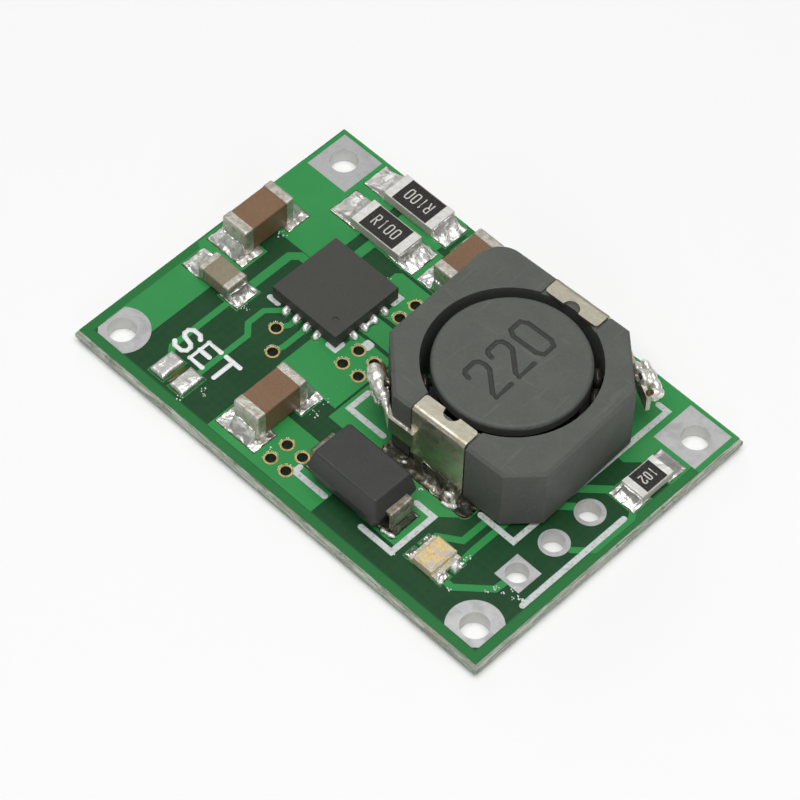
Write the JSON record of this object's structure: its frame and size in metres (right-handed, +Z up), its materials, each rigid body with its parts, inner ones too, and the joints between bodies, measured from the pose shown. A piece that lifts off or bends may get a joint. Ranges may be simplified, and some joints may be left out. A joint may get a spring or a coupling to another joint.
{
  "type": "battery charger module",
  "caption": "Small green circuit board with four corner terminals, a shielded inductor with bent clips, a controller chip, a diode, a lamp and chip capacitors and resistors.",
  "frame": {"origin": "middle of the board's underside", "axes": "+X along the long side of the board towards the header holes, +Y along its short side, +Z up out of the side with the components"},
  "size_m": [0.025, 0.017, 0.0047],
  "materials": {
    "laminate": "woven glass and resin, rough where snapped",
    "copper": "smooth foil",
    "solder_mask": "glossy green lacquer",
    "legend_ink": "printed ink",
    "tinned_metal": "satin tin",
    "bare_ring": "satin",
    "solder": "glossy with flux",
    "moulding": "fine matt mould compound",
    "brown_ceramic": "matt fired ceramic",
    "tan_ceramic": "matt fired ceramic",
    "alumina": "matt white ceramic",
    "black_glaze": "glossy coat",
    "ferrite": "sintered, matt",
    "enamelled_wire": "glossy enamel",
    "clip_sheet": "tinned sheet",
    "lamp_board": "satin",
    "lamp_resin": "clear resin, hazy"
  },
  "bodies": {
    "root": {"bottom_copper": "copper", "bottom_mask": "solder_mask", "bridge_solder": "solder", "capacitor_solder": "solder", "controller_body": "moulding", "controller_leads": "tinned_metal", "controller_slug": "tinned_metal", "controller_solder": "solder", "corner_terminals": "tinned_metal", "diode_anode_lead": "tinned_metal", "diode_body": "moulding", "diode_cathode_lead": "tinned_metal", "diode_solder": "solder", "front_sense_resistor_ends": "tinned_metal", "front_sense_resistor_glaze": "black_glaze", "front_sense_resistor_slab": "alumina", "header_terminals": "tinned_metal", "inductor_drum": "ferrite", "inductor_front_clip": "clip_sheet", "inductor_rear_clip": "clip_sheet", "inductor_shield": "ferrite", "inductor_solder": "solder", "inductor_strap_solder": "solder", "inductor_winding": "enamelled_wire", "input_capacitor_body": "brown_ceramic", "input_capacitor_ends": "tinned_metal", "laminate": "laminate", "lamp_base": "lamp_board", "lamp_ends": "bare_ring", "lamp_lens": "lamp_resin", "lamp_resistor_ends": "tinned_metal", "lamp_resistor_glaze": "black_glaze", "lamp_resistor_slab": "alumina", "lamp_solder": "solder", "legend": "legend_ink", "output_capacitor_body": "brown_ceramic", "output_capacitor_ends": "tinned_metal", "rear_capacitor_body": "brown_ceramic", "rear_capacitor_ends": "tinned_metal", "rear_sense_resistor_ends": "tinned_metal", "rear_sense_resistor_glaze": "black_glaze", "rear_sense_resistor_slab": "alumina", "resistor_solder": "solder", "small_capacitor_body": "tan_ceramic", "small_capacitor_ends": "tinned_metal", "top_copper": "copper", "top_mask": "solder_mask", "vias": "bare_ring"}
  },
  "joints": []
}
